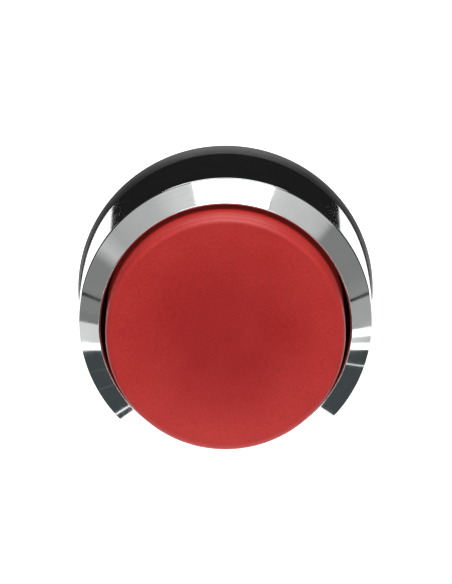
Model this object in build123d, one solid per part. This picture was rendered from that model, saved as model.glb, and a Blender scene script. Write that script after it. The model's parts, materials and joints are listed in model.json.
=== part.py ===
from build123d import *
import os

# Industrial push button: a round monoblock for a 22 mm panel hole, with a projecting cap.
#
# The axis runs along Y. The front of the button looks along -Y and +Z is up. The origin is the
# centre of the gasket's rear face, which is the plane that rests on the panel.
# Every size is in millimetres. Depths are y coordinates, so a larger depth is further back.

# ---- driving dimensions -------------------------------------------------------------------
TRAVEL = 3.5              # how far the cap goes in
BRIDGE_LAG = 0.7          # how far the contact bridge stays behind the cap over that travel
FIT_GAP = 0.05            # running clearance of the plunger in its bush
TOUCH_GAP = 0.05          # space left between two parts that meet at a stop

# bezel
BEZEL_R = 14.75
BEZEL_BORE_R = 12.45
BEZEL_TIP_Y = -15.05      # inner, foremost edge of the sloping front
BEZEL_SHOULDER_Y = -13.1  # outer edge of the sloping front
BEZEL_FLOOR_T = 1.5
BEZEL_EDGE_R = 0.2
BEZEL_TIP_EDGE_R = 0.15

# gasket
GASKET_FRONT_R = 14.8     # the rim flares towards the panel
GASKET_R = 15.1
GASKET_T = 2.3
GASKET_BORE_R = 11.1
GASKET_FRONT_EDGE_R = 0.12
GASKET_REAR_EDGE_R = 0.2

# threaded barrel
BARREL_R = 11.0           # bare neck that sits in the panel hole
BARREL_SPIGOT_R = 10.8    # part that the bezel and gasket slip over
BARREL_BORE_R = 8.7
BARREL_END_Y = 18.0
BARREL_NECK_Y = 2.5       # the thread starts behind this
THREAD_CREST_R = 10.95
THREAD_ROOT_R = 10.1
THREAD_PITCH = 1.5
THREAD_CREST_SHARE = 0.16  # width of the ridge's crest and foot, as shares of the pitch
THREAD_FOOT_SHARE = 0.84
THREAD_SUNK = 0.1         # how far the ridge reaches into the core
THREAD_RUNOUT = 1.2       # plain length before and after the ridge
NECK_TAPER_L = 0.5
FLANGE_R = 12.05
FLANGE_T = 1.2
KEYWAY_W = 3.2
KEYWAY_FLOOR_R = 10.0
KEYWAY_FRONT_Y = 0.3
LATCH_W = 3.0             # windows in the barrel that the terminal base snaps into
LATCH_Y = (15.9, 17.2)

# O-ring between bezel and barrel
ORING_GROOVE = (11.3, 12.05, 0.75)  # inner radius, outer radius, depth
ORING_R = 11.675
ORING_WIRE_R = 0.365

# button cap
CAP_R = 11.95
CAP_RIM_Y = -18.35
CAP_DOME = 0.4
CAP_EDGE_R = 0.6
CAP_WALL = 1.6
CAP_FACE_T = 1.8
CAP_SKIRT_Y = -9.5

# cap carrier and its screw
CARRIER_DISC_T = 1.6
CARRIER_HUB_R = 5.4
CARRIER_HUB_END_Y = -9.2
CARRIER_WEB = (-14.6, -13.4)
CARRIER_SCREW_R = 1.25
CARRIER_SCREW_HEAD_R = 2.2
CARRIER_SCREW_HEAD_T = 1.1
CARRIER_SCREW_END_Y = -8.4
CARRIER_SCREW_EDGE_R = 0.35
CARRIER_WELL_GAP = 0.2    # space around the screw's head

# plunger, bush, seal and spring seat
PLUNGER_R = 3.4
PLUNGER_END_Y = 14.3
PLUNGER_EDGE_R = 0.4
WINDOW_Y = (4.5, 12.3)
WINDOW_HALF_H = 1.75
BUSH_Y = (-3.0, 1.5)
BUSH_WEB_T = 1.4
BUSH_RIM_W = 1.2
BUSH_SLEEVE_W = 1.5
SEAL_FRONT_Y = -4.4
SEAL_SOLE_W = 1.0         # width of the seal's front face, at the rim
SEAL_SLOPE_W = 0.2
SEAL_HOLLOW = 0.7         # how far the seal's web lies behind its front face
SEAL_LIP_SET = 0.1        # how far the lip's edge lies behind the front face
SEAL_LIP_W = 0.5
SEAL_LIP_FOOT_W = 0.9
SEAL_LIP_LEAN = 0.3       # clearance behind the lip
SEAT_R = 9.4
SEAT_BORE_R = 4.0
SEAT_POCKET_R = 9.5
CLIP_T = 0.6
CLIP_R = 4.9
CLIP_GROOVE_R = 2.6
CLIP_PAD_REACH = 0.8      # how far the three pads stand inside the ring
CLIP_PAD_HALF_W = 1.0
CLIP_MOUTH_HALF_W = 2.34
CLIP_MOUTH_Z = 0.9

# coil springs
RETURN_COIL_R = 7.6
RETURN_WIRE_R = 0.45
RETURN_TURNS = 3.5
CONTACT_COIL_R = 1.2
CONTACT_WIRE_R = 0.2
CONTACT_TURNS = 4

# contacts
CONTACT_X = 5.0
TIP_R = 1.1
TIP_T = 0.5
BRIDGE_Y = 8.0
BRIDGE_T = 0.8
BRIDGE_HALF_L = 6.25
BRIDGE_HALF_H = 1.3
CORNER_CUT = 0.4          # corners of the bridge and of the clamp plates
STRIP_T = 0.6
STRIP_X = (3.75, 6.1)
STRIP_Z = (4.4, 5.0)
STRIP_END_Y = 28.4
ARM_REACH_Z = 1.3         # how far a strip's arm goes past the axis
PAD_X = (2.3, 7.1)
PAD_Y = 21.4

# terminal base
BASE_SPIGOT_R = 8.6
BASE_FRONT_Y = 15.5
BASE_POCKET_R = 3.9
BASE_POCKET_Y = 18.4
BASE_FLANGE_R = 10.0
BASE_FLANGE_T = 1.2
BLOCK_HALF_W = 8.4
BLOCK_END_Y = 29.2
BARRIER_HALF_T = 0.7
BARRIER_Z = 7.1
CHEEK_T = 0.9
CHEEK_Z = 4.9
SLOT_GAP = 0.05
NOSE_GAP = 0.1            # clearance of a snap nose in its window
NOSE_ROOT = 0.5           # how far a nose reaches into the spigot
NOSE_LAND = 0.3           # full-height length at the nose's rear

# terminal screws
SCREW_X = 4.7
SCREW_Y = 25.0
SCREW_R = 1.2
SCREW_HOLE_R = 1.3
SCREW_HEAD_R = 1.9
SCREW_HEAD_T = 1.3
SCREW_HEAD_EDGE_R = 0.4
SCREW_DEPTH_Z = 1.4
CLAMP_HALF = 2.2
CLAMP_T = 0.5
RECESS_W = 0.5
RECESS_L = 2.6
RECESS_T = 0.6

# panel fixing
PANEL_T = 3.0             # panel thickness that the washer and nut stand at
WASHER_R = 13.9
WASHER_BORE_R = 11.25
WASHER_T = 1.0
WASHER_TEETH = 24
WASHER_TOOTH_R = 0.45
TONGUE_W = 2.6
TONGUE_R = 10.35
TONGUE_ROOT = 0.5         # how far the tongue reaches into the washer
NUT_R = 12.8
NUT_BORE_R = 11.05
NUT_T = 4.0
NUT_NOTCHES = 12
NUT_NOTCH_R = 1.1
NUT_NOTCH_OUT = 0.2       # how far a notch's centre lies outside the nut
NUT_NOTCH_LAND = 1.0      # plain front of the nut, before the notches
NUT_CHAMFER = 0.4
OVERCUT = 1.0             # how far a cutting tool reaches past the face it cuts

# ---- derived depths -----------------------------------------------------------------------
BEZEL_REAR_Y = -GASKET_T
BEZEL_FLOOR_Y = BEZEL_REAR_Y - BEZEL_FLOOR_T
FLANGE_FRONT_Y = BEZEL_FLOOR_Y - FLANGE_T
CAP_FLOOR_Y = CAP_RIM_Y + CAP_FACE_T
CARRIER_REAR_Y = CAP_FLOOR_Y + CARRIER_DISC_T
CLIP_Y = BUSH_Y[1] + TOUCH_GAP
BRIDGE_REAR_Y = BRIDGE_Y + BRIDGE_T
NC_TIP_Y = BRIDGE_Y - TIP_T - TOUCH_GAP
NO_TIP_Y = BRIDGE_REAR_Y + TIP_T + TRAVEL - BRIDGE_LAG + TOUCH_GAP
NC_ARM_Y = NC_TIP_Y - TIP_T - STRIP_T
NO_ARM_Y = NO_TIP_Y + TIP_T
BASE_FLANGE_Y = BARREL_END_Y + BASE_FLANGE_T
BLOCK_HALF_H = STRIP_Z[0]
SIDES = (-1, 1)
CROSS = ((RECESS_L / 2, RECESS_W / 2), (RECESS_W / 2, RECESS_L / 2))  # half sizes of a crossed slot
SAME = 0.001              # lengths closer than this are equal


# ---- helpers ------------------------------------------------------------------------------
def turned(*profile):
    """A solid of revolution about Y from (radius, depth) points, joined by straight lines."""
    outline = make_face(Polyline(*profile, close=True))
    return revolve(outline, axis=Axis.Y)


def tube(outer, inner, y0, y1):
    return turned((inner, y0), (outer, y0), (outer, y1), (inner, y1))


def rod(radius, y0, y1, x=0.0, z=0.0):
    """A round bar along Y."""
    length = y1 - y0
    return Pos(x, y0 + length / 2, z) * Rot(90, 0, 0) * Cylinder(radius, length)


def post(radius, x, y, z0, z1):
    """A round bar along Z."""
    return Pos(x, y, (z0 + z1) / 2) * Cylinder(radius, abs(z1 - z0))


def block(x0, x1, y0, y1, z0, z1):
    """A box between two corners, in either order along each direction."""
    size = (abs(x1 - x0), abs(y1 - y0), abs(z1 - z0))
    return Pos((x0 + x1) / 2, (y0 + y1) / 2, (z0 + z1) / 2) * Box(*size)


def rounded(part, radius, *rings):
    """The part with its circular edges at the given (radius, depth) rings rounded."""
    edges = [
        e
        for e in part.edges().filter_by(GeomType.CIRCLE)
        for r, y in rings
        if abs(e.radius - r) < SAME and abs(e.arc_center.Y - y) < SAME
    ]
    return fillet(edges, radius)


def coil(coil_r, wire_r, y0, y1, turns):
    """A round-wire compression spring whose wire just reaches both depths."""
    height = y1 - y0 - 2 * wire_r
    path = Helix(pitch=height / turns, height=height, radius=coil_r)
    section = Plane(origin=path @ 0, z_dir=path % 0) * Circle(wire_r)
    wire = sweep(section, path=path, is_frenet=True)
    return Pos(0, y0 + wire_r, 0) * Rot(-90, 0, 0) * wire


def thread_ridge(y0, y1):
    """The raised helical rib of the barrel's thread, sunk a little into the core."""
    crest_half = THREAD_PITCH * THREAD_CREST_SHARE / 2
    foot_half = THREAD_PITCH * THREAD_FOOT_SHARE / 2
    foot_r = THREAD_ROOT_R - THREAD_SUNK
    path = Helix(pitch=THREAD_PITCH, height=y1 - y0, radius=foot_r)
    depth = THREAD_CREST_R - foot_r
    section = Plane(origin=path @ 0, x_dir=(1, 0, 0), z_dir=(0, 1, 0)) * make_face(
        Polyline(
            (0, -foot_half),
            (depth, -crest_half),
            (depth, crest_half),
            (0, foot_half),
            close=True,
        )
    )
    ridge = sweep(section, path=path, is_frenet=True)
    return Pos(0, y0, 0) * Rot(-90, 0, 0) * ridge


# ---- fixed body: front ring, gasket, barrel -----------------------------------------------
def make_bezel():
    ring = turned(
        (BARREL_SPIGOT_R + FIT_GAP, BEZEL_REAR_Y),
        (BEZEL_R, BEZEL_REAR_Y),
        (BEZEL_R, BEZEL_SHOULDER_Y),
        (BEZEL_BORE_R, BEZEL_TIP_Y),
        (BEZEL_BORE_R, BEZEL_FLOOR_Y),
        (BARREL_SPIGOT_R + FIT_GAP, BEZEL_FLOOR_Y),
    )
    groove_in, groove_out, groove_t = ORING_GROOVE
    ring -= tube(groove_out, groove_in, BEZEL_FLOOR_Y, BEZEL_FLOOR_Y + groove_t)
    ring = rounded(ring, BEZEL_TIP_EDGE_R, (BEZEL_BORE_R, BEZEL_TIP_Y))
    return rounded(ring, BEZEL_EDGE_R, (BEZEL_R, BEZEL_SHOULDER_Y), (BEZEL_R, BEZEL_REAR_Y))


def make_gasket():
    ring = turned(
        (GASKET_BORE_R, -GASKET_T), (GASKET_FRONT_R, -GASKET_T), (GASKET_R, 0), (GASKET_BORE_R, 0)
    )
    ring = rounded(ring, GASKET_FRONT_EDGE_R, (GASKET_FRONT_R, -GASKET_T))
    return rounded(ring, GASKET_REAR_EDGE_R, (GASKET_R, 0))


def make_oring():
    groove_t = ORING_GROOVE[2]
    return Pos(0, BEZEL_FLOOR_Y + groove_t / 2, 0) * Rot(90, 0, 0) * Torus(ORING_R, ORING_WIRE_R)


def make_barrel():
    body = turned(
        (BARREL_BORE_R, FLANGE_FRONT_Y),
        (FLANGE_R, FLANGE_FRONT_Y),
        (FLANGE_R, BEZEL_FLOOR_Y),
        (BARREL_SPIGOT_R, BEZEL_FLOOR_Y),
        (BARREL_SPIGOT_R, 0),
        (BARREL_R, 0),
        (BARREL_R, BARREL_NECK_Y),
        (THREAD_ROOT_R, BARREL_NECK_Y + NECK_TAPER_L),
        (THREAD_ROOT_R, BARREL_END_Y),
        (BARREL_BORE_R, BARREL_END_Y),
    )
    body += thread_ridge(BARREL_NECK_Y + THREAD_RUNOUT, BARREL_END_Y - THREAD_RUNOUT)
    body -= rod(SEAT_POCKET_R, FLANGE_FRONT_Y, SEAL_FRONT_Y)
    # keyway under the barrel, for the washer's tongue
    half = KEYWAY_W / 2
    lowest = -BARREL_R - OVERCUT
    body -= block(-half, half, KEYWAY_FRONT_Y, BARREL_END_Y, lowest, -KEYWAY_FLOOR_R)
    # latch windows at both sides
    half = LATCH_W / 2
    for side in SIDES:
        inside, outside = side * (BARREL_BORE_R - OVERCUT), side * (BARREL_R + OVERCUT)
        body -= block(inside, outside, *LATCH_Y, -half, half)
    return body


# ---- fixed body: what the plunger runs in -------------------------------------------------
def make_spring_seat():
    return tube(SEAT_R, SEAT_BORE_R, FLANGE_FRONT_Y, SEAL_FRONT_Y)


def make_lip_seal():
    """A rubber disc with a thin lip that leans forward against the plunger."""
    lip_r = PLUNGER_R + FIT_GAP
    lip_y = SEAL_FRONT_Y + SEAL_LIP_SET
    web_y = SEAL_FRONT_Y + SEAL_HOLLOW
    sole_r = BARREL_BORE_R - SEAL_SOLE_W
    return turned(
        (lip_r, lip_y),
        (lip_r + SEAL_LIP_W, lip_y),
        (lip_r + SEAL_LIP_FOOT_W, web_y),
        (sole_r - SEAL_SLOPE_W, web_y),
        (sole_r, SEAL_FRONT_Y),
        (BARREL_BORE_R, SEAL_FRONT_Y),
        (BARREL_BORE_R, BUSH_Y[0]),
        (lip_r + SEAL_LIP_LEAN, BUSH_Y[0]),
    )


def make_bush():
    """The guide: a sleeve joined to a rim by a web."""
    y0, y1 = BUSH_Y
    inner = PLUNGER_R + FIT_GAP
    sleeve_r = inner + BUSH_SLEEVE_W
    rim_r = BARREL_BORE_R - BUSH_RIM_W
    return turned(
        (inner, y0),
        (BARREL_BORE_R, y0),
        (BARREL_BORE_R, y1),
        (rim_r, y1),
        (rim_r, y0 + BUSH_WEB_T),
        (sleeve_r, y0 + BUSH_WEB_T),
        (sleeve_r, y1),
        (inner, y1),
    )


# ---- fixed body: terminal base and its metal ----------------------------------------------
def make_terminal_base():
    base = rod(BASE_SPIGOT_R, BASE_FRONT_Y, BARREL_END_Y)
    base += rod(BASE_FLANGE_R, BARREL_END_Y, BASE_FLANGE_Y)
    width, height = BLOCK_HALF_W, BLOCK_HALF_H
    base += block(-width, width, BASE_FLANGE_Y, BLOCK_END_Y, -height, height)
    # insulating walls between and beside the terminals
    t, h = BARRIER_HALF_T, BARRIER_Z
    base += block(-t, t, BASE_FLANGE_Y, BLOCK_END_Y, -h, h)
    for side in SIDES:
        base += block(
            side * (width - CHEEK_T), side * width, BASE_FLANGE_Y, BLOCK_END_Y, -CHEEK_Z, CHEEK_Z
        )
    base -= rod(BASE_POCKET_R, BASE_FRONT_Y, BASE_POCKET_Y)
    # snap noses that fill the barrel's windows
    nose_y0, nose_y1 = LATCH_Y[0] + NOSE_GAP, LATCH_Y[1] - NOSE_GAP
    nose_half = LATCH_W / 2 - NOSE_GAP
    nose_r = THREAD_ROOT_R - NOSE_GAP
    root_r = BASE_SPIGOT_R - NOSE_ROOT
    for side in SIDES:
        nose = make_face(
            Polyline(
                (side * root_r, nose_y0),
                (side * BASE_SPIGOT_R, nose_y0),
                (side * nose_r, nose_y1 - NOSE_LAND),
                (side * nose_r, nose_y1),
                (side * root_r, nose_y1),
                close=True,
            )
        )
        base += Pos(0, 0, -nose_half) * extrude(nose, 2 * nose_half, dir=(0, 0, 1))
    # slots for the four contact strips, and pilot holes for the four screws
    for side in SIDES:
        for level in SIDES:
            base -= block(
                side * (STRIP_X[0] - SLOT_GAP),
                side * (STRIP_X[1] + SLOT_GAP),
                BASE_FRONT_Y,
                BASE_FLANGE_Y,
                level * (STRIP_Z[0] - SLOT_GAP),
                level * (STRIP_Z[1] + SLOT_GAP),
            )
            depth, top = level * SCREW_DEPTH_Z, level * BLOCK_HALF_H
            base -= post(SCREW_R, side * SCREW_X, SCREW_Y, depth, top)
    return base


def make_strip(side, level, arm_y):
    """A folded contact strip: an arm beside the bridge, a leg along the barrel and a screw pad.

    side is -1 or 1 for left or right, level -1 or 1 for the lower or upper leg. arm_y is the
    depth of the arm's front face.
    """
    x0, x1 = (side * x for x in STRIP_X)
    z0, z1 = (level * z for z in STRIP_Z)
    strip = block(x0, x1, arm_y, arm_y + STRIP_T, -level * ARM_REACH_Z, z1)
    strip += block(x0, x1, arm_y, PAD_Y, z0, z1)
    strip += block(side * PAD_X[0], side * PAD_X[1], PAD_Y, STRIP_END_Y, z0, z1)
    cut = level * OVERCUT
    strip -= post(SCREW_HOLE_R, side * SCREW_X, SCREW_Y, z0 - cut, z1 + cut)
    return strip


def make_fixed_tips():
    """Silver rivets: one on each strip's arm, facing the bridge."""
    tips = []
    for side in SIDES:
        tips.append(rod(TIP_R, NC_TIP_Y - TIP_T, NC_TIP_Y, side * CONTACT_X))
        tips.append(rod(TIP_R, NO_TIP_Y, NO_TIP_Y + TIP_T, side * CONTACT_X))
    return Compound(tips)


def make_clamps():
    """Square plates under the terminal screws."""
    clamps = []
    for side in SIDES:
        for level in SIDES:
            x = side * SCREW_X
            z0 = level * STRIP_Z[1]
            z1 = level * (STRIP_Z[1] + CLAMP_T)
            y0, y1 = SCREW_Y - CLAMP_HALF, SCREW_Y + CLAMP_HALF
            plate = block(x - CLAMP_HALF, x + CLAMP_HALF, y0, y1, z0, z1)
            plate = chamfer(plate.edges().filter_by(Axis.Z), CORNER_CUT)
            cut = level * OVERCUT
            clamps.append(plate - post(SCREW_HOLE_R, x, SCREW_Y, z0 - cut, z1 + cut))
    return Compound(clamps)


def make_terminal_screws():
    """Pan-head screws with a crossed slot, pointing towards the block from above and below."""
    seat = STRIP_Z[1] + CLAMP_T
    top = seat + SCREW_HEAD_T
    screws = []
    for side in SIDES:
        for level in SIDES:
            x = side * SCREW_X
            head = post(SCREW_HEAD_R, x, SCREW_Y, level * seat, level * top)
            rim = [e for e in head.edges() if abs(e.center().Z - level * top) < SAME]
            head = fillet(rim, SCREW_HEAD_EDGE_R)
            floor, above = level * (top - RECESS_T), level * (top + OVERCUT)
            for half_x, half_y in CROSS:
                head -= block(
                    x - half_x, x + half_x, SCREW_Y - half_y, SCREW_Y + half_y, floor, above
                )
            screws.append(head + post(SCREW_R, x, SCREW_Y, level * SCREW_DEPTH_Z, level * seat))
    return Compound(screws)


# ---- moving body: cap, carrier, plunger ---------------------------------------------------
def make_cap():
    """The cap: a gently domed face with a rounded rim and a skirt."""
    dome_y = CAP_RIM_Y - CAP_DOME
    edge_y = CAP_RIM_Y + CAP_EDGE_R
    rim_r = CAP_R - CAP_EDGE_R
    inner = CAP_R - CAP_WALL
    # a shallow dome has three quarters of its height left halfway out
    outline = ThreePointArc(
        (0, dome_y), (rim_r / 2, CAP_RIM_Y - CAP_DOME * 3 / 4), (rim_r, CAP_RIM_Y)
    )
    outline += RadiusArc((rim_r, CAP_RIM_Y), (CAP_R, edge_y), -CAP_EDGE_R)
    outline += Polyline(
        (CAP_R, edge_y),
        (CAP_R, CAP_SKIRT_Y),
        (inner, CAP_SKIRT_Y),
        (inner, CAP_FLOOR_Y),
        (0, CAP_FLOOR_Y),
        (0, dome_y),
    )
    return revolve(make_face(outline), axis=Axis.Y)


def make_carrier():
    web_y0, web_y1 = CARRIER_WEB
    rim_r = CAP_R - CAP_WALL - TOUCH_GAP
    well_r = CARRIER_SCREW_HEAD_R + CARRIER_WELL_GAP
    return turned(
        (CARRIER_SCREW_R + FIT_GAP, web_y0),
        (well_r, web_y0),
        (well_r, CAP_FLOOR_Y),
        (rim_r, CAP_FLOOR_Y),
        (rim_r, CARRIER_REAR_Y),
        (CARRIER_HUB_R, CARRIER_REAR_Y),
        (CARRIER_HUB_R, CARRIER_HUB_END_Y),
        (PLUNGER_R, CARRIER_HUB_END_Y),
        (PLUNGER_R, web_y1),
        (CARRIER_SCREW_R + FIT_GAP, web_y1),
    )


def make_carrier_screw():
    head_y1 = CARRIER_WEB[0]
    head_y0 = head_y1 - CARRIER_SCREW_HEAD_T
    screw = rod(CARRIER_SCREW_HEAD_R, head_y0, head_y1)
    screw = rounded(screw, CARRIER_SCREW_EDGE_R, (CARRIER_SCREW_HEAD_R, head_y0))
    screw += rod(CARRIER_SCREW_R, head_y1, CARRIER_SCREW_END_Y)
    before, floor = head_y0 - OVERCUT, head_y0 + RECESS_T
    for half_x, half_z in CROSS:
        screw -= block(-half_x, half_x, before, floor, -half_z, half_z)
    return screw


def make_plunger():
    stem = rod(PLUNGER_R, CARRIER_WEB[1], PLUNGER_END_Y)
    stem = rounded(stem, PLUNGER_EDGE_R, (PLUNGER_R, PLUNGER_END_Y))
    stem -= rod(CARRIER_SCREW_R, CARRIER_WEB[1], CARRIER_SCREW_END_Y)
    stem -= tube(PLUNGER_R + OVERCUT, CLIP_GROOVE_R, CLIP_Y, CLIP_Y + CLIP_T)
    # window that the bridge and its two springs sit in
    stem -= block(-PLUNGER_R, PLUNGER_R, *WINDOW_Y, -WINDOW_HALF_H, WINDOW_HALF_H)
    return stem


def make_clip():
    """An E-clip: a flat ring open towards +Z, with three inward pads."""
    y0, y1 = CLIP_Y, CLIP_Y + CLIP_T
    ring = tube(CLIP_R, CLIP_GROOVE_R + CLIP_PAD_REACH, y0, y1)
    pads = tube(CLIP_R, CLIP_GROOVE_R, y0, y1)
    half = CLIP_PAD_HALF_W
    keep = block(-CLIP_R, CLIP_R, y0, y1, -half, half)
    keep += block(-half, half, y0, y1, -CLIP_R, 0)
    ring += pads & keep
    mouth, above = CLIP_MOUTH_HALF_W, CLIP_R + OVERCUT
    return ring - block(-mouth, mouth, y0 - OVERCUT, y1 + OVERCUT, CLIP_MOUTH_Z, above)


# ---- moving body: contact bridge ----------------------------------------------------------
def make_bridge():
    bar = block(
        -BRIDGE_HALF_L, BRIDGE_HALF_L, BRIDGE_Y, BRIDGE_REAR_Y, -BRIDGE_HALF_H, BRIDGE_HALF_H
    )
    return chamfer(bar.edges().filter_by(Axis.Y), CORNER_CUT)


def make_bridge_tips():
    tips = []
    for side in SIDES:
        tips.append(rod(TIP_R, BRIDGE_Y - TIP_T, BRIDGE_Y, side * CONTACT_X))
        tips.append(rod(TIP_R, BRIDGE_REAR_Y, BRIDGE_REAR_Y + TIP_T, side * CONTACT_X))
    return Compound(tips)


# ---- moving bodies: washer and nut --------------------------------------------------------
def make_lock_washer():
    y0, y1 = PANEL_T, PANEL_T + WASHER_T
    washer = tube(WASHER_R, WASHER_BORE_R, y0, y1)
    half = TONGUE_W / 2
    washer += block(-half, half, y0, y1, -TONGUE_R, -WASHER_BORE_R - TONGUE_ROOT)
    for k in range(WASHER_TEETH):
        notch = rod(WASHER_TOOTH_R, y0, y1, WASHER_R)
        washer -= Rot(0, 360 * (k + 0.5) / WASHER_TEETH, 0) * notch
    return washer


def make_lock_nut():
    y0 = PANEL_T + WASHER_T + TOUCH_GAP
    y1 = y0 + NUT_T
    c = NUT_CHAMFER
    nut = turned(
        (NUT_BORE_R + c / 2, y0),
        (NUT_R, y0),
        (NUT_R, y1 - c),
        (NUT_R - c, y1),
        (NUT_BORE_R + c, y1),
        (NUT_BORE_R, y1 - c),
        (NUT_BORE_R, y0 + c / 2),
    )
    for k in range(NUT_NOTCHES):
        notch = rod(NUT_NOTCH_R, y0 + NUT_NOTCH_LAND, y1, NUT_R + NUT_NOTCH_OUT)
        nut -= Rot(0, 360 * k / NUT_NOTCHES, 0) * notch
    return nut


# ---- build and write every node -----------------------------------------------------------
NODES = {
    "bezel_ring": make_bezel(),
    "panel_gasket": make_gasket(),
    "bezel_oring": make_oring(),
    "threaded_barrel": make_barrel(),
    "spring_seat": make_spring_seat(),
    "lip_seal": make_lip_seal(),
    "guide_bush": make_bush(),
    "terminal_base": make_terminal_base(),
    "nc_contact_left": make_strip(-1, -1, NC_ARM_Y),
    "nc_contact_right": make_strip(1, -1, NC_ARM_Y),
    "no_contact_left": make_strip(-1, 1, NO_ARM_Y),
    "no_contact_right": make_strip(1, 1, NO_ARM_Y),
    "fixed_contact_tips": make_fixed_tips(),
    "terminal_clamps": make_clamps(),
    "terminal_screws": make_terminal_screws(),
    "button_cap": make_cap(),
    "cap_carrier": make_carrier(),
    "carrier_screw": make_carrier_screw(),
    "plunger": make_plunger(),
    "plunger_clip": make_clip(),
    "return_spring": coil(
        RETURN_COIL_R, RETURN_WIRE_R, CARRIER_REAR_Y, FLANGE_FRONT_Y, RETURN_TURNS
    ),
    "contact_spring_front": coil(
        CONTACT_COIL_R, CONTACT_WIRE_R, WINDOW_Y[0], BRIDGE_Y, CONTACT_TURNS
    ),
    "contact_spring_rear": coil(
        CONTACT_COIL_R, CONTACT_WIRE_R, BRIDGE_REAR_Y, WINDOW_Y[1], CONTACT_TURNS
    ),
    "contact_bridge": make_bridge(),
    "bridge_contact_tips": make_bridge_tips(),
    "lock_washer": make_lock_washer(),
    "lock_nut": make_lock_nut(),
}

os.makedirs("parts", exist_ok=True)
for name, shape in NODES.items():
    export_step(shape, f"parts/{name}.step")
    print(name, round(shape.volume, 2))
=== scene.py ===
# %% [markdown]
# # An industrial push button, dressed for a portrait
# The button is a small metal and plastic turning: a chrome ring with a red cap in it, a rubber
# gasket behind, and a black threaded barrel that goes through a panel. The moving model already
# has every part in its true place. Here each surface that the eye meets is given its real finish,
# and the parts whose light matters most are turned again as smooth surfaces.

import json
import math

import bpy
import numpy as np
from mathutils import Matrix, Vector


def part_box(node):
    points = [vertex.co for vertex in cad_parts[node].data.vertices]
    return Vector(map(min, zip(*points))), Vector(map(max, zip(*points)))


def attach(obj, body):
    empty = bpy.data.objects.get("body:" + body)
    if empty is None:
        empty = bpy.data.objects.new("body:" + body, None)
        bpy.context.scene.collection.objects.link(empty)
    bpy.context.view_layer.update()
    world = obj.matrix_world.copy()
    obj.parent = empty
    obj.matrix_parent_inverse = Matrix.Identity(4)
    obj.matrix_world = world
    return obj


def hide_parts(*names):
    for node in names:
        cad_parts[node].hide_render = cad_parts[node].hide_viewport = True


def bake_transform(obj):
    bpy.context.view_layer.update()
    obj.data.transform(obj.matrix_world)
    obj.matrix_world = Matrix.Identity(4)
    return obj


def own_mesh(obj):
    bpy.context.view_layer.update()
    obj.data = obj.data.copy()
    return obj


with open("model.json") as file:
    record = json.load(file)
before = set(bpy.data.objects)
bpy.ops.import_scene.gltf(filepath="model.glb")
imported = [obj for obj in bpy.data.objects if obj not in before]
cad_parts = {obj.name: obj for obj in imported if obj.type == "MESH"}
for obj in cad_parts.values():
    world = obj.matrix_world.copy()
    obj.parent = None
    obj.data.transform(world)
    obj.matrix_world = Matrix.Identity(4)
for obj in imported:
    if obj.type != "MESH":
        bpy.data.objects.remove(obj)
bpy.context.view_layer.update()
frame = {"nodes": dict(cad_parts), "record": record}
print("nodes:", len(frame["nodes"]))

# %% [markdown]
# ## Sizes
# Blender works in metres and a button is easier to think about in millimetres, so one constant
# turns the second into the first. The outer sizes are read from the frame. Edge roundings and
# wall thicknesses can't be read from a box, so they are named here, part by part.

# %% Sizes
MM = 0.001


def span(node):
    """Radius across X, and the lowest and highest Y of a CAD node, in millimetres."""
    low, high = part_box(node)
    return high.x / MM, low.y / MM, high.y / MM


BEZEL_R, BEZEL_TIP_Y, BEZEL_REAR_Y = span("bezel_ring")
GASKET_R, GASKET_FRONT_Y, GASKET_REAR_Y = span("panel_gasket")
CAP_R, CAP_TOP_Y, CAP_SKIRT_Y = span("button_cap")
BEZEL_BORE_R = 12.45
BEZEL_FALL = 1.95           # how far the bevel's outer edge lies behind its inner edge
BEZEL_TIP_LOST = 0.174      # what rounding takes off the inner edge's depth
BEZEL_TIP_EDGE_R = 0.15
BEZEL_SHOULDER_EDGE_R = 0.42
BEZEL_REAR_EDGE_R = 0.2
BEZEL_FLOOR_EDGE_R = 0.1
BEZEL_FLOOR_T = 1.5
BEZEL_FLOOR_BORE_R = 10.85
GROOVE_INNER_R = 11.3       # the O-ring's groove in the bezel's floor
GROOVE_OUTER_R = 12.05
GROOVE_DEPTH = 0.75
GASKET_FRONT_R = 14.8       # the rim flares backwards from here
GASKET_BORE_R = 11.1
GASKET_FRONT_EDGE_R = 0.12
GASKET_REAR_EDGE_R = 0.2
GASKET_BORE_EDGE_R = 0.1
CAP_DOME = 0.4
CAP_EDGE_R = 0.6
CAP_SKIRT_EDGE_R = 0.2
CAP_WALL = 1.6
CAP_FACE_T = 1.8
print(f"bezel radius {BEZEL_R:.2f}, gasket radius {GASKET_R:.2f}, cap radius {CAP_R:.2f} mm")

# %% [markdown]
# ## Turned surfaces
# The ring, the cap and the gasket are all turned on a lathe or moulded in a round mould. Such a
# surface is one outline carried round an axis. Blender's Spin and Screw tools can do that, but an
# array of numbers gives full control of where the points are: closely spaced round each small
# edge, where chrome shows the slightest flat, and with a pair of points just inside each flat
# stretch, so that the flat stays flat in the light.

# %% An outline with rounded corners
ARC_STEPS = 8
EDGE_GUARD = 0.06


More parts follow.
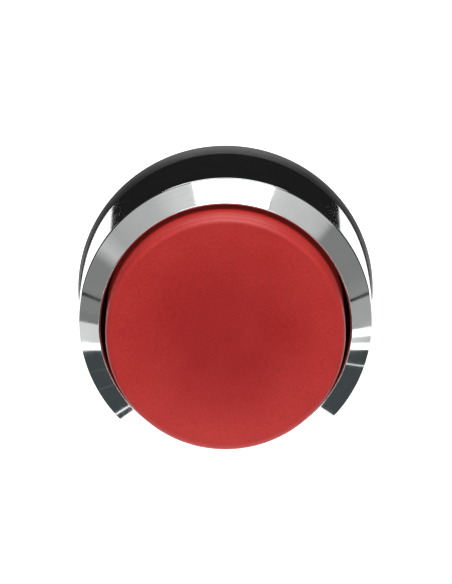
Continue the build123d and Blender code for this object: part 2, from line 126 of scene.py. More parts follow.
def rounded_outline(corners):
    """Points along a polygon of (radius, depth, rounding) corners.

    A rounding r between unit edge directions a and b that meet at angle t puts the arc's centre
    at r / sin(t / 2) along the bisector, and its ends at r / tan(t / 2) along each edge. The arc
    is cut at equal angles. A corner with no rounding is one point.
    """
    plan = np.array(corners, float)
    points = []
    count = len(plan)
    for k in range(count):
        here, rounding = plan[k, :2], plan[k, 2]
        if rounding == 0:
            points.append(here[None])
            continue
        a = plan[k - 1, :2] - here
        b = plan[(k + 1) % count, :2] - here
        a, b = a / np.linalg.norm(a), b / np.linalg.norm(b)
        half = math.acos(np.clip(a @ b, -1, 1)) / 2
        reach = rounding / math.tan(half)
        centre = here + (a + b) / np.linalg.norm(a + b) * rounding / math.sin(half)
        start, end = here + a * reach - centre, here + b * reach - centre
        turn = math.pi - 2 * half
        t = np.linspace(0, 1, ARC_STEPS + 1)[:, None]
        arc = (np.sin((1 - t) * turn) * start + np.sin(t * turn) * end) / math.sin(turn)
        guard = min(EDGE_GUARD, rounding)
        points += [here[None] + a * (reach + guard), centre + arc, here[None] + b * (reach + guard)]
    return np.concatenate(points)


# %% A surface from a grid of points
def grid_piece(name, grid, wrap_columns=True, caps=()):
    """A closed mesh from a grid of points shaped (rows, columns, 3), in millimetres.

    Each quad joins a point to its neighbours in the next row and column, and the last row joins
    the first. wrap_columns joins the last column to the first as well. caps names the ends, 0 or
    -1, of the columns that close in one point at their middle. Faces are turned to point
    outwards: if the sum of (a x b) . c over the triangles is negative, the surface is inside out.
    """
    rows, columns = grid.shape[:2]
    points = grid.reshape(-1, 3)
    index = np.arange(rows * columns).reshape(rows, columns)
    index = np.vstack([index, index[:1]])
    if wrap_columns:
        index = np.hstack([index, index[:, :1]])
    quads = np.stack(
        [index[:-1, :-1], index[1:, :-1], index[1:, 1:], index[:-1, 1:]], axis=-1
    ).reshape(-1, 4)
    faces = quads.tolist()
    for end in caps:
        middle = len(points)
        points = np.vstack([points, grid[:, end].mean(0)])
        rim = index[:, end]
        pair = [rim[1:], rim[:-1]] if end == 0 else [rim[:-1], rim[1:]]
        fan = np.stack([*pair, np.full(len(rim) - 1, middle)], axis=-1)
        faces += fan.tolist()
    a, b, c = (points[quads[:, k]] for k in range(3))
    d = points[quads[:, 3]]
    volume = (np.cross(a, b) * c).sum() + (np.cross(a, c) * d).sum()
    for end in caps:
        rim = index[:, end]
        first, second = points[rim[1:]], points[rim[:-1]]
        if end != 0:
            first, second = second, first
        volume += (np.cross(first, second) * grid[:, end].mean(0)).sum()
    if volume < 0:
        faces = [face[::-1] for face in faces]
    mesh = bpy.data.meshes.new(name)
    mesh.from_pydata((points * MM).tolist(), [], faces)
    mesh.shade_smooth()
    mesh.update()
    piece = bpy.data.objects.new(name, mesh)
    bpy.context.scene.collection.objects.link(piece)
    print(f"{name}: {len(faces)} faces, {abs(volume) / 6:.0f} cubic mm")
    return piece


# %% Carry an outline round the axis
ROUND_STEPS = 192


def turned(name, outline, closed=True):
    """A lathe form: point (r, y) of the outline at angle t lies at (r sin t, y, r cos t).

    A closed outline makes a ring. An open one starts and ends beside the axis and gets a point
    on the axis at both ends.
    """
    t = np.linspace(0, 2 * math.pi, ROUND_STEPS, endpoint=False)[:, None]
    r, y = outline[None, :, 0], outline[None, :, 1]
    grid = np.stack([r * np.sin(t), y + 0 * t, r * np.cos(t)], axis=-1)
    return grid_piece(name, grid, wrap_columns=closed, caps=() if closed else (0, -1))


# %% [markdown]
# ## The chrome ring
# A deep ring of plated brass: a polished wall, a bevel turned on the lathe, and a bore that the
# cap slides in. Both edges of the bevel are broken, the outer one by about four tenths of a
# millimetre and the inner one by less, and each draws a thin line right round the ring.

# %% Turn the bezel
bevel_tip_y = BEZEL_TIP_Y - BEZEL_TIP_LOST
shoulder_y = bevel_tip_y + BEZEL_FALL
floor_y = BEZEL_REAR_Y - BEZEL_FLOOR_T
bezel = turned(
    "bezel",
    rounded_outline(
        [
            (BEZEL_R, BEZEL_REAR_Y, BEZEL_REAR_EDGE_R),
            (BEZEL_R, shoulder_y, BEZEL_SHOULDER_EDGE_R),
            (BEZEL_BORE_R, bevel_tip_y, BEZEL_TIP_EDGE_R),
            (BEZEL_BORE_R, floor_y, BEZEL_FLOOR_EDGE_R),
            (GROOVE_OUTER_R, floor_y, 0),
            (GROOVE_OUTER_R, floor_y + GROOVE_DEPTH, 0),
            (GROOVE_INNER_R, floor_y + GROOVE_DEPTH, 0),
            (GROOVE_INNER_R, floor_y, 0),
            (BEZEL_FLOOR_BORE_R, floor_y, 0),
            (BEZEL_FLOOR_BORE_R, BEZEL_REAR_Y, 0),
        ]
    ),
)
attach(bezel, "housing")
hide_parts("bezel_ring")

# %% [markdown]
# ## The cap
# One red moulding with a gently domed face, a soft rim and a skirt that runs in the ring. The
# dome is a shallow parabola: the face stands proud of its rim by the dome's height at the middle
# and falls away with the square of the radius. It starts a little off the axis, where one point
# closes it.

# %% Turn the cap
POLE_R = 0.15
DOME_MARGIN = 0.3           # plain stretch between the dome's last point and the rounded edge
DOME_POINTS = 14

rim_y = CAP_TOP_Y + CAP_DOME
dome_r = np.linspace(POLE_R, CAP_R - CAP_EDGE_R - DOME_MARGIN, DOME_POINTS)
dome_y = rim_y - CAP_DOME * (1 - (dome_r / CAP_R) ** 2)
dome = [(r, y, 0) for r, y in zip(dome_r, dome_y)]
inside_r = CAP_R - CAP_WALL
cap = turned(
    "cap",
    rounded_outline(
        dome
        + [
            (CAP_R, rim_y, CAP_EDGE_R),
            (CAP_R, CAP_SKIRT_Y, CAP_SKIRT_EDGE_R),
            (inside_r, CAP_SKIRT_Y, CAP_SKIRT_EDGE_R),
            (inside_r, rim_y + CAP_FACE_T, 0),
            (POLE_R, rim_y + CAP_FACE_T, 0),
        ]
    ),
    closed=False,
)
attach(cap, "button")
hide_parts("button_cap")

# %% [markdown]
# ## The gasket
# A moulded rubber ring, squeezed between the bezel and the panel. It flares a little towards
# the panel, so from the front its rim shows as a thin grey line round the back of the bezel.

# %% Turn the gasket
gasket = turned(
    "gasket",
    rounded_outline(
        [
            (GASKET_FRONT_R, GASKET_FRONT_Y, GASKET_FRONT_EDGE_R),
            (GASKET_R, GASKET_REAR_Y, GASKET_REAR_EDGE_R),
            (GASKET_BORE_R, GASKET_REAR_Y, GASKET_BORE_EDGE_R),
            (GASKET_BORE_R, GASKET_FRONT_Y, GASKET_BORE_EDGE_R),
        ]
    ),
)
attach(gasket, "housing")
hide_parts("panel_gasket")

# %% [markdown]
# ## Springs
# A compression spring is round wire wound at a steady pitch, with its last turn at each end
# wound flat so that it can stand. The wire is a circle carried along that path. Its section is
# set by two directions: outwards from the axis, and the cross product of that with the path.

# %% A compression spring
WIRE_STEPS = 12
TURN_STEPS = 48


def coil(name, coil_r, wire_r, y0, y1, turns, flat=0.75):
    """A coil of wire between two depths, with flat turns at its ends.

    Over the flat part at either end the path climbs by one wire's thickness a turn, so that the
    turns lie on each other. Between them it climbs evenly through what height is left.
    """
    total = turns + 2 * flat
    s = np.linspace(0, total, int(total * TURN_STEPS) + 1)
    free = y1 - y0 - 2 * wire_r
    lift = 2 * wire_r * flat
    rise = np.interp(s, [0, flat, total - flat, total], [0, lift, free - lift, free])
    angle = 2 * math.pi * s
    out = np.stack([np.cos(angle), 0 * s, np.sin(angle)], axis=-1)
    path = out * coil_r + np.stack([0 * s, y0 + wire_r + rise, 0 * s], axis=-1)
    along = np.gradient(path, axis=0)
    along /= np.linalg.norm(along, axis=1, keepdims=True)
    side = np.cross(along, out)
    side /= np.linalg.norm(side, axis=1, keepdims=True)
    t = np.linspace(0, 2 * math.pi, WIRE_STEPS, endpoint=False)
    ring = out[None] * np.cos(t)[:, None, None] + side[None] * np.sin(t)[:, None, None]
    grid = path[None] + ring * wire_r
    return grid_piece(name, grid, wrap_columns=False, caps=(0, -1))


# %% Wind the three springs
WIRE_CLEARANCE = 0.02
RETURN_SPRING = {"coil_r": 7.6, "wire_r": 0.44, "turns": 2.6}
CONTACT_SPRING = {"coil_r": 1.2, "wire_r": 0.19, "turns": 3.0}


def depths(node):
    """The lowest and highest Y of a CAD node, in millimetres."""
    low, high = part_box(node)
    return low.y / MM, high.y / MM


def wound(name, node, coil_r, wire_r, turns):
    """A coil that fills a CAD spring's depth, less a hair at either end."""
    y0, y1 = depths(node)
    return coil(name, coil_r, wire_r, y0 + WIRE_CLEARANCE, y1 - WIRE_CLEARANCE, turns)


return_spring = wound("return_coil", "return_spring", **RETURN_SPRING)
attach(return_spring, "housing")
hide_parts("return_spring")

contact_springs = []
for end in ("front", "rear"):
    node = "contact_spring_" + end
    spring = wound("contact_coil_" + end, node, **CONTACT_SPRING)
    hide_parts(node)
    contact_springs.append(spring)

# %% [markdown]
# ## Finishes
# Every finish is made of nodes that read Object coordinates, which are the button's own metres,
# so a grain keeps its real size on every part. A few helpers keep the recipes short. The first
# ones make a material or a node and set its plain values, and scale a noise by its grain.

# %% Materials, nodes and noise
def finish_named(name, **values):
    """A material with a Principled shader whose plain values are given by socket name."""
    material = bpy.data.materials.new(name)
    material.use_nodes = True
    shader = material.node_tree.nodes["Principled BSDF"]
    for socket, value in values.items():
        shader.inputs[socket.replace("_", " ")].default_value = value
    return material, material.node_tree, shader


def make(tree, kind, **values):
    """A node of that kind with its settings and plain inputs set."""
    node = tree.nodes.new("ShaderNode" + kind)
    for key, value in values.items():
        socket = key.replace("_", " ")
        if socket in node.inputs:
            node.inputs[socket].default_value = value
        else:
            setattr(node, key, value)
    return node


def coordinates(tree):
    return make(tree, "TexCoord").outputs["Object"]


def stretched(tree, vector, scale):
    """The coordinates times one number for each direction."""
    mapping = make(tree, "Mapping", Scale=scale)
    tree.links.new(vector, mapping.inputs["Vector"])
    return mapping.outputs["Vector"]


def grain(tree, vector, size_mm, detail=2.0, roughness=0.5, distortion=0.0):
    """Noise whose blobs are about size_mm across."""
    node = make(
        tree, "TexNoise", Scale=1 / (size_mm * MM), Detail=detail, Roughness=roughness,
        Distortion=distortion,
    )
    tree.links.new(vector, node.inputs["Vector"])
    return node.outputs["Fac"]


def line_noise(tree, position, size_mm, detail=2.0):
    """Noise along one line only: every point at the same position gets the same value."""
    node = make(tree, "TexNoise", noise_dimensions="1D", Scale=1 / (size_mm * MM), Detail=detail)
    tree.links.new(position, node.inputs["W"])
    return node.outputs["Fac"]


# %% [markdown]
# The next ones work on numbers and colours: spreading a factor over a range, arithmetic, a ramp
# of colours, a mix of two, and a bump measured in millimetres.

# %% Numbers, colours and bumps
def between(tree, factor, low, high, start=0.3, stop=0.7):
    """The factor's stretch from start to stop, spread over low to high."""
    node = make(tree, "MapRange", From_Min=start, From_Max=stop, To_Min=low, To_Max=high)
    tree.links.new(factor, node.inputs["Value"])
    return node.outputs["Result"]


def maths(tree, operation, first, second=None):
    """One operation on values that are either sockets or plain numbers."""
    node = make(tree, "Math", operation=operation)
    for socket, value in zip(node.inputs, (first, second)):
        if value is None:
            continue
        if isinstance(value, (int, float)):
            socket.default_value = value
        else:
            tree.links.new(value, socket)
    return node.outputs["Value"]


def tinted(tree, factor, stops):
    """A colour ramp through (place, colour) stops."""
    node = make(tree, "ValToRGB")
    ramp = node.color_ramp
    while len(ramp.elements) < len(stops):
        ramp.elements.new(0.5)
    for element, (place, colour) in zip(ramp.elements, stops):
        element.position = place
        element.color = (*colour, 1)
    tree.links.new(factor, node.inputs["Fac"])
    return node.outputs["Color"]


def raised(tree, height, depth_mm, below=None):
    """A bump whose full height is depth_mm, laid over another bump."""
    node = make(tree, "Bump", Distance=depth_mm * MM, Strength=1.0)
    tree.links.new(height, node.inputs["Height"])
    if below is not None:
        tree.links.new(below, node.inputs["Normal"])
    return node.outputs["Normal"]


def mixed(tree, factor, first, second):
    """The colour that lies factor of the way from first to second."""
    node = make(tree, "MixRGB")
    for socket, value in zip(node.inputs, (factor, first, second)):
        tree.links.new(value, socket)
    return node.outputs[0]


def scaled(tree, colour, factor):
    """A colour made lighter or darker by a factor."""
    node = make(tree, "VectorMath", operation="SCALE")
    tree.links.new(colour, node.inputs[0])
    tree.links.new(factor, node.inputs["Scale"])
    return node.outputs[0]


def axis_parts(tree, vector):
    """X, Y, Z and the distance from the Y axis."""
    parts = make(tree, "SeparateXYZ")
    tree.links.new(vector, parts.inputs["Vector"])
    x, y, z = (parts.outputs[k] for k in range(3))
    square = maths(tree, "ADD", maths(tree, "MULTIPLY", x, x), maths(tree, "MULTIPLY", z, z))
    return x, y, z, maths(tree, "SQRT", square)


# %% [markdown]
# ### Chrome
# Plating hides nothing: the turned marks left under it roughen the edge of every reflection on
# the bevel, while the wall was buffed and mirrors its surroundings cleanly. A coordinate that
# grows outwards over the bevel and backwards along the wall gives marks that run round the
# ring everywhere. Inside the bore the plate's colour is painted much darker, as painted shade.

# %% Chrome plate
BEVEL_EDGE = (0.05, 0.3)    # how far behind the shoulder turned marks give way to buffing
BORE_EDGE = (0.02, 0.10)    # how far outside the bore the painted shade gives way to the plain plate
BROAD_MARKS = 0.010
FINE_MARKS = 0.0004


def chrome_plate():
    material, tree, shader = finish_named("chrome_plate", Metallic=1.0, Specular_IOR_Level=0.5)
    place = coordinates(tree)
    _, y, _, radius = axis_parts(tree, place)
    outwards = maths(tree, "ADD", radius, y)
    marks = line_noise(tree, outwards, 0.05, detail=3.0)
    broad = line_noise(tree, outwards, 0.25, detail=1.0)
    edge_start, edge_stop = ((shoulder_y + behind) * MM for behind in BEVEL_EDGE)
    bevel = between(tree, y, 1.0, 0.0, start=edge_start, stop=edge_stop)
    fine_share = between(tree, bevel, 0.12, 1.0, start=0, stop=1)
    broad_share = between(tree, bevel, 0.02, 1.0, start=0, stop=1)
    under = raised(tree, maths(tree, "MULTIPLY", broad, broad_share), BROAD_MARKS)
    over = raised(tree, maths(tree, "MULTIPLY", marks, fine_share), FINE_MARKS, under)
    tree.links.new(over, shader.inputs["Normal"])
    smudge = grain(tree, place, 2.6, detail=4.0)
    fine = grain(tree, place, 0.12, detail=2.0)
    sheen = maths(tree, "ADD", between(tree, smudge, 0.035, 0.075), between(tree, fine, 0, 0.02))
    tree.links.new(sheen, shader.inputs["Roughness"])
    plate = tinted(tree, smudge, [(0.3, (0.79, 0.81, 0.80)), (0.7, (0.85, 0.87, 0.86))])
    # painted shade: inside the bore the plate's colour falls to 0.22 of itself, to darken that recess
    bore_start, bore_stop = ((BEZEL_BORE_R + beyond) * MM for beyond in BORE_EDGE)
    bore_painted_shade = between(tree, radius, 0.22, 1.0, start=bore_start, stop=bore_stop)
    tree.links.new(scaled(tree, plate, bore_painted_shade), shader.inputs["Base Color"])
    return material


# %% [markdown]
# ### Red plastic
# The cap is a satin moulding. The mould was spark-finished, which leaves a fine even grain, and
# fingers have polished it a little in places. Its red is painted deeper in the middle and lighter
# towards the rim, as painted shade and painted light. The skirt has a faint red emission, a
# painted glow, so the side that stands in the ring's narrow gap glows very faintly instead of
# going black.

# %% Red plastic
SHADED_WITHIN = 4.2           # radii where the painted shade of the middle ends and the painted light of the rim is full
LIT_BEYOND = 10.2
PAINTED_GLOW_DEPTHS = (1.3, 2.8)           # how far behind the top the painted glow starts and is full
PAINTED_GLOW_COLOUR = (1.0, 0.10, 0.08)
PAINTED_GLOW_STRENGTH = 0.060


def red_plastic():
    material, tree, shader = finish_named("red_plastic", Specular_IOR_Level=0.4)
    place = coordinates(tree)
    _, y, _, radius = axis_parts(tree, place)
    clouds = grain(tree, place, 5.0, detail=3.0)
    sparks = grain(tree, place, 0.16, detail=2.0, roughness=0.6)
    specks = grain(tree, place, 0.35, detail=1.0)
    # painted shade and painted light: a darker red in the middle is mixed by radius into a lighter red
    # at the rim
    deep = tinted(tree, clouds, [(0.3, (0.335, 0.009, 0.008)), (0.7, (0.365, 0.011, 0.010))])
    painted_rim_light_red = tinted(tree, clouds, [(0.3, (0.445, 0.020, 0.018)), (0.7, (0.475, 0.024, 0.021))])
    rim = between(tree, radius, 0.0, 1.0, start=SHADED_WITHIN * MM, stop=LIT_BEYOND * MM)
    colour = mixed(tree, rim, deep, painted_rim_light_red)
    dust_and_shading = between(tree, sparks, 0.80, 1.20, start=0.25, stop=0.75)
    tree.links.new(scaled(tree, colour, dust_and_shading), shader.inputs["Base Color"])
    polish = maths(tree, "ADD", between(tree, clouds, 0.36, 0.44), between(tree, sparks, 0, 0.06))
    tree.links.new(polish, shader.inputs["Roughness"])
    under = raised(tree, specks, 0.003)
    tree.links.new(raised(tree, sparks, 0.010, under), shader.inputs["Normal"])
    # painted glow: a faint red emission on the skirt behind the top, though the cap is no lamp
    glow_start, glow_stop = ((CAP_TOP_Y + behind) * MM for behind in PAINTED_GLOW_DEPTHS)
    painted_skirt_glow = between(tree, y, 0.0, PAINTED_GLOW_STRENGTH, start=glow_start, stop=glow_stop)
    shader.inputs["Emission Color"].default_value = (*PAINTED_GLOW_COLOUR, 1)
    tree.links.new(painted_skirt_glow, shader.inputs["Emission Strength"])
    return material


# %% [markdown]
# ### Rubber
# Rubber is dark and dull. A bloom of lighter grey sits on it in patches, and the mould's own
# texture gives it a fine bump. The gasket's colour is painted nearly black in front, as painted
# shade beside the bezel, and grey behind, as painted light on its rim.

# %% Rubber
def rubber(name, dark, light, roughness, dust_and_shading=None):
    """Rubber between two colours. The last argument gives the depths, in mm, over which its colour goes
    from painted shade in front to painted light behind.
    """
    material, tree, shader = finish_named(name, Specular_IOR_Level=0.4)
    place = coordinates(tree)
    bloom = grain(tree, place, 3.0, detail=5.0, roughness=0.65)
    pores = grain(tree, place, 0.14, detail=3.0)
    colour = tinted(tree, bloom, [(0.3, dark), (0.75, light)])
    # painted shade in front and painted light behind: the colour is scaled from 0.25 to 1.6 over the
    # given depths
    if dust_and_shading is not None:
        start, stop = dust_and_shading[0] * MM, dust_and_shading[1] * MM
        _, y, _, _ = axis_parts(tree, place)
        colour = scaled(tree, colour, between(tree, y, 0.25, 1.6, start=start, stop=stop))
    tree.links.new(colour, shader.inputs["Base Color"])
    tree.links.new(
        between(tree, bloom, roughness - 0.06, roughness + 0.08), shader.inputs["Roughness"]
    )
    tree.links.new(raised(tree, pores, 0.012), shader.inputs["Normal"])
    return material


# %% [markdown]
# ### Mouldings
# The black barrel and terminal base are glass-filled plastic: short fibres show as pale flecks
# drawn out along the flow, and the surface is finely uneven. The pale and grey parts inside are
# acetal, which is smooth and a little waxy.

# %% Glass-filled plastic
def filled_plastic(name, dark, fleck):
    material, tree, shader = finish_named(name, Specular_IOR_Level=0.5)
    place = coordinates(tree)
    drawn = stretched(tree, place, (1.0, 0.35, 1.0))
    fibres = grain(tree, drawn, 0.22, detail=5.0, roughness=0.7)
    patches = grain(tree, place, 4.0, detail=3.0)
    fibre_share = maths(tree, "MULTIPLY", fibres, 0.7)
    mix = maths(tree, "ADD", fibre_share, maths(tree, "MULTIPLY", patches, 0.3))
    tree.links.new(tinted(tree, mix, [(0.4, dark), (0.72, fleck)]), shader.inputs["Base Color"])
    tree.links.new(between(tree, patches, 0.42, 0.58), shader.inputs["Roughness"])
    tree.links.new(raised(tree, fibres, 0.010), shader.inputs["Normal"])
    return material


# %% Acetal
def acetal(name, deep, pale):
    material, tree, shader = finish_named(
        name, Specular_IOR_Level=0.5, Subsurface_Weight=0.15, Subsurface_Scale=0.0006
    )
    place = coordinates(tree)
    flow = grain(tree, stretched(tree, place, (1.0, 0.4, 1.0)), 2.2, detail=4.0, distortion=0.6)
    skin = grain(tree, place, 0.2, detail=2.0)
    tree.links.new(tinted(tree, flow, [(0.3, deep), (0.7, pale)]), shader.inputs["Base Color"])
    tree.links.new(between(tree, flow, 0.30, 0.40), shader.inputs["Roughness"])
    tree.links.new(raised(tree, skin, 0.004), shader.inputs["Normal"])
    return material


# %% [markdown]
# ### Metals inside and behind
# Zinc plating dries in cloudy patches over a rolled sheet's fine lines. Drawn wire carries faint
# lines too. Brass and copper strips darken a little with handling. One recipe serves them all,
# with its own colours, grain direction and patch size.

# %% Worked metal
def worked_metal(name, dull, bright, patch_mm, rough, lines=(1.0, 0.05, 1.0), line_mm=0.06):
    material, tree, shader = finish_named(name, Metallic=1.0, Specular_IOR_Level=0.5)
    place = coordinates(tree)
    cloud = grain(tree, place, patch_mm, detail=5.0, roughness=0.6, distortion=0.4)
    drawn = grain(tree, stretched(tree, place, lines), line_mm, detail=3.0)
    tree.links.new(tinted(tree, cloud, [(0.32, dull), (0.68, bright)]), shader.inputs["Base Color"])
    dulled = between(tree, cloud, rough + 0.08, rough - 0.05)
    wear = maths(tree, "ADD", dulled, between(tree, drawn, 0, 0.08))
    tree.links.new(wear, shader.inputs["Roughness"])
    tree.links.new(raised(tree, drawn, 0.003), shader.inputs["Normal"])
    return material


# %% Mix every finish
FINISHES = {
    "chrome_plate": chrome_plate(),
    "red_plastic": red_plastic(),
    # the gasket's colour is painted darker in front and lighter behind, as painted shade and painted
    # light
    "gasket_rubber": rubber(
        "gasket_rubber", (0.024, 0.025, 0.025), (0.040, 0.042, 0.042), 0.55, dust_and_shading=(-1.9, -0.7)
    ),
    "seal_rubber": rubber("seal_rubber", (0.012, 0.012, 0.013), (0.028, 0.028, 0.030), 0.45),
    "black_plastic": filled_plastic("black_plastic", (0.016, 0.016, 0.017), (0.060, 0.060, 0.062)),
    "pale_acetal": acetal("pale_acetal", (0.66, 0.63, 0.55), (0.78, 0.76, 0.70)),
    "bush_acetal": acetal("bush_acetal", (0.10, 0.105, 0.115), (0.16, 0.165, 0.175)),
    "plated_steel": worked_metal("plated_steel", (0.46, 0.47, 0.49), (0.66, 0.67, 0.68), 0.9, 0.30),
    "spring_steel": worked_metal("spring_steel", (0.36, 0.36, 0.37), (0.56, 0.56, 0.57), 0.5, 0.26),
    "nut_metal": worked_metal("nut_metal", (0.50, 0.48, 0.45), (0.66, 0.64, 0.60), 1.6, 0.30),
    "strip_brass": worked_metal("strip_brass", (0.52, 0.35, 0.12), (0.76, 0.56, 0.24), 1.4, 0.26),
    "bridge_copper": worked_metal("bridge_copper", (0.50, 0.22, 0.12), (0.80, 0.42, 0.26), 1.0, 0.28),
    "contact_silver": worked_metal("contact_silver", (0.66, 0.65, 0.62), (0.86, 0.86, 0.84), 0.4, 0.22),
}
slot_of = {s["node"]: s["material_slot"] for s in frame["record"]["subparts"]}
for node, cad_object in frame["nodes"].items():
    for place in cad_object.material_slots:
        place.material = FINISHES[slot_of[node]]
for piece, slot in (
    (bezel, "chrome_plate"),
    (cap, "red_plastic"),
    (gasket, "gasket_rubber"),
    (return_spring, "spring_steel"),
    *((spring, "spring_steel") for spring in contact_springs),
):
    piece.data.materials.append(FINISHES[slot])
print("finishes:", len(FINISHES))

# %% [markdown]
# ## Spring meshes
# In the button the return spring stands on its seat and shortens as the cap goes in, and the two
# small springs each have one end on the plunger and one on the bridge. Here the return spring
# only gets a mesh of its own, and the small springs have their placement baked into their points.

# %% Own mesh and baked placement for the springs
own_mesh(return_spring)
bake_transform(contact_springs[0])
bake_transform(contact_springs[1])

# %% [markdown]
# ## Studio
# Chrome looks like whatever surrounds it, so the studio is most of the picture. A white box hangs
# overhead and in front, a white floor lies well below, and paler and darker cards lie on that
# floor to both sides, where the lower half of the bevel finds them. The camera doesn't see the
# cards and they cast no shadow, so the button stands over a plain floor from every side.

# %% Floor and cards
FLOOR_Z = -0.040            # in metres, as everything in the studio is
FLOOR_X, FLOOR_Y = 0.62, 0.70
CARD_Z = FLOOR_Z + 0.001


def card(name, low, high, z, glow, colour=(0.0, 0.0, 0.0), seen=False):
    """A level sheet between two corners that gives off glow and scatters colour."""
    corners = [(low[0], low[1], z), (high[0], low[1], z), (high[0], high[1], z), (low[0], high[1], z)]
    mesh = bpy.data.meshes.new(name)
    mesh.from_pydata(corners, [], [(0, 1, 2, 3)])
    sheet = bpy.data.objects.new(name, mesh)
    bpy.context.scene.collection.objects.link(sheet)
    material, tree, shader = finish_named(name, Roughness=0.9)
    shader.inputs["Base Color"].default_value = (*colour, 1)
    shader.inputs["Specular IOR Level"].default_value = 0.0
    shader.inputs["Emission Color"].default_value = (*glow, 1)
    shader.inputs["Emission Strength"].default_value = 1.0
    mesh.materials.append(material)
    sheet.visible_camera = seen
    sheet.visible_shadow = seen


def grey(level):
    return (level, level, level)


card(
    "studio_floor", (-FLOOR_X, -FLOOR_Y), (FLOOR_X, FLOOR_Y), FLOOR_Z, grey(0.65), grey(0.92), seen=True
)

# %% [markdown]
# Each card is a strip beside the button that runs towards the viewer. It is given by its left
# and right edges, measured across from the button's axis, and by how much light it gives. Strips
# further out reach further forward. The darkest are slightly blue, as black card is, with thin
# seams and gaps between sheets. The two sides differ, which keeps the ring from looking drawn.

# %% Strips beside the button
BLACK_CARD = (0.058, 0.068, 0.072)
SEAM = (0.11, 0.12, 0.125)
OUTER_FROM = 0.10           # strips whose middle is further out than this are outer ones
OUTER_REACH = -0.40
INNER_REACH = -0.06
STRIP_BACK = 0.012
STRIPS = (
    (-FLOOR_X, -0.235, grey(0.24)),
    (-0.235, -0.163, grey(0.22)),
    (-0.163, -0.100, grey(0.76)),
    (-0.0870, -0.0624, BLACK_CARD),
    (-0.0624, -0.0618, SEAM),
    (-0.0618, -0.0484, BLACK_CARD),
    (-0.0484, -0.0478, SEAM),
    (-0.0478, -0.0340, BLACK_CARD),
    (-0.0334, -0.0312, BLACK_CARD),
    (0.0330, 0.0675, BLACK_CARD),
    (0.0684, 0.0880, BLACK_CARD),
    (0.100, 0.115, grey(0.60)),
    (0.140, FLOOR_X, grey(0.41)),
)
for number, (left, right, glow) in enumerate(STRIPS):
    reach = OUTER_REACH if abs(left + right) / 2 > OUTER_FROM else INNER_REACH
    card(f"strip_{number}", (left, reach), (right, STRIP_BACK), CARD_Z, glow)
FLAG_LEVEL = 0.02           # a black sheet in front, which the cap's face turns towards
card("front_flag", (-0.13, -0.60), (0.13, -0.075), CARD_Z, grey(FLAG_LEVEL))
print("strips:", len(STRIPS))

# %% [markdown]
# The softbox overhead is mirrored at the top of the bevel. Two thin dark strips, its frame, edge
# that white patch. Two more softboxes, low and wide, fill in from the front and from behind.

# %% Lights
LAMP_Z = 0.50
FRAME_LEVEL = 0.05


def softbox(name, place, look_at, width, height, power):
    """A rectangular light at place that faces look_at, or straight down if look_at is None.

    Positions are in metres and power is in watts. Width runs across X.
    """
    data = bpy.data.lights.new(name, "AREA")
    data.shape = "RECTANGLE"
    data.size, data.size_y = width, height
    data.energy = power
    light = bpy.data.objects.new(name, data)
    light.location = place
    if look_at is not None:
        facing = Vector(look_at) - Vector(place)
        light.rotation_euler = facing.to_track_quat("-Z", "Y").to_euler()
    bpy.context.scene.collection.objects.link(light)


softbox("overhead", (0.040, -0.225, LAMP_Z), None, 0.366, 0.46, 2.9)
card("frame_left", (-0.151, -0.455), (-0.144, 0.005), LAMP_Z, grey(FRAME_LEVEL))
card("frame_right", (0.224, -0.455), (0.233, 0.005), LAMP_Z, grey(FRAME_LEVEL))
softbox("front_fill", (0.0, -0.60, 0.40), (0.0, 0.0, 0.0), 0.50, 0.25, 0.6)
softbox("rear_fill", (0.0, 0.55, 0.42), (0.0, 0.0, 0.0), 0.50, 0.25, 1.0)
print("lights:", [light.name for light in bpy.data.lights])

# %% [markdown]
# The rest of the room is a tent that depends only on direction. Its left and right walls are
# two ramps over height, from just under the horizon to overhead, and a thin dark line runs
# along the horizon where wall and floor meet. A paler panel stands in front, and behind it is
# dark. The camera's own rays see plain white instead, so the backdrop is white from every side.

# %% The room around
LOWEST = -0.1               # height of the ramps' lower end, as the sine of the elevation


def wall_ramp(tree, height, stops):
    """A colour ramp through (height, level) stops, level being how light the tent is there."""
    share = between(tree, height, 0.0, 1.0, start=LOWEST, stop=1.0)
    return tinted(tree, share, [((z - LOWEST) / (1 - LOWEST), grey(level)) for z, level in stops])


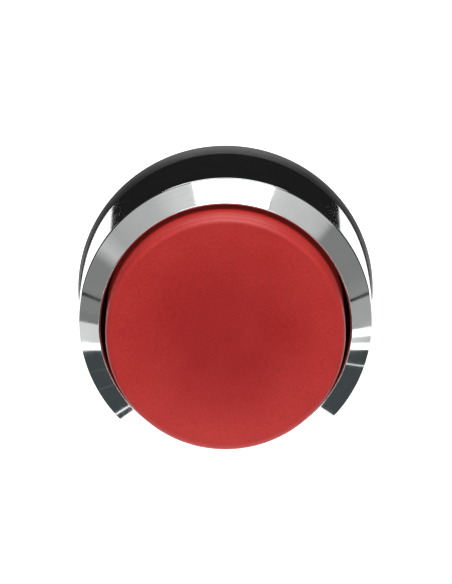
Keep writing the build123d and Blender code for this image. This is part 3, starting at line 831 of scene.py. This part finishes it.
def studio_room():
    world = bpy.data.worlds.new("studio_room")
    world.use_nodes = True
    tree = world.node_tree
    direction = make(tree, "TexCoord").outputs["Generated"]
    x, y, z, _ = axis_parts(tree, direction)
    right = wall_ramp(
        tree, z,
        [(-0.046, 0.015), (-0.040, 0.30), (0.10, 0.24), (0.49, 0.23), (0.53, 0.52), (0.84, 0.70)],
    )
    left = wall_ramp(
        tree, z,
        [
            (-0.046, 0.015), (-0.040, 0.24), (0.22, 0.25), (0.32, 0.58), (0.45, 0.44),
            (0.56, 0.48), (0.73, 0.50), (0.86, 0.74),
        ],
    )
    behind = wall_ramp(tree, z, [(0.33, 0.012), (0.62, 0.05)])
    panel = wall_ramp(tree, z, [(-0.03, 0.02), (0.0, 0.50), (0.60, 0.70)])
    sides = mixed(tree, between(tree, x, 0.0, 1.0, start=-0.02, stop=0.02), left, right)
    across = maths(tree, "ABSOLUTE", x)
    front = mixed(tree, between(tree, across, 1.0, 0.0, start=0.55, stop=0.66), sides, panel)
    front = mixed(tree, between(tree, z, 0.0, 1.0, start=0.62, stop=0.66), front, sides)
    around = mixed(tree, between(tree, y, 1.0, 0.0, start=-0.02, stop=0.12), behind, front)
    seen = make(tree, "MixRGB", Color2=(1.05, 1.05, 1.05, 1))
    tree.links.new(make(tree, "LightPath").outputs["Is Camera Ray"], seen.inputs[0])
    tree.links.new(around, seen.inputs[1])
    tree.links.new(seen.outputs[0], tree.nodes["Background"].inputs["Color"])
    bpy.context.scene.world = world


studio_room()
bpy.context.scene.view_settings.view_transform = "Standard"

# %% [markdown]
# ## Camera
# The camera looks at the button's face from well over half a metre away and some fifteen degrees
# above it, with a very long lens. So little perspective is left that the ring stays nearly
# round and the wall behind it shows only above.

# %% Camera
CAMERA_TILT = math.radians(14.6)
CAMERA_AWAY = 0.640
SENSOR = 36
VIEW_TALL = 0.0584          # what the image's long side takes in at the bevel's shoulder
AIM_ACROSS = 0.05           # the point looked at, in millimetres from the axis
AIM_UP = 3.05

aim = Vector((AIM_ACROSS * MM, shoulder_y * MM, AIM_UP * MM))
away = Vector((0, -math.cos(CAMERA_TILT), math.sin(CAMERA_TILT)))
camera_data = bpy.data.cameras.new("camera")
camera_data.sensor_width = SENSOR
camera_data.lens = SENSOR * CAMERA_AWAY / VIEW_TALL
camera_data.clip_start = 0.01
camera = bpy.data.objects.new("camera", camera_data)
camera.location = aim + away * CAMERA_AWAY
camera.rotation_euler = (-away).to_track_quat("-Z", "Y").to_euler()
bpy.context.scene.collection.objects.link(camera)
bpy.context.scene.camera = camera
print(f"lens {camera_data.lens:.0f} mm")
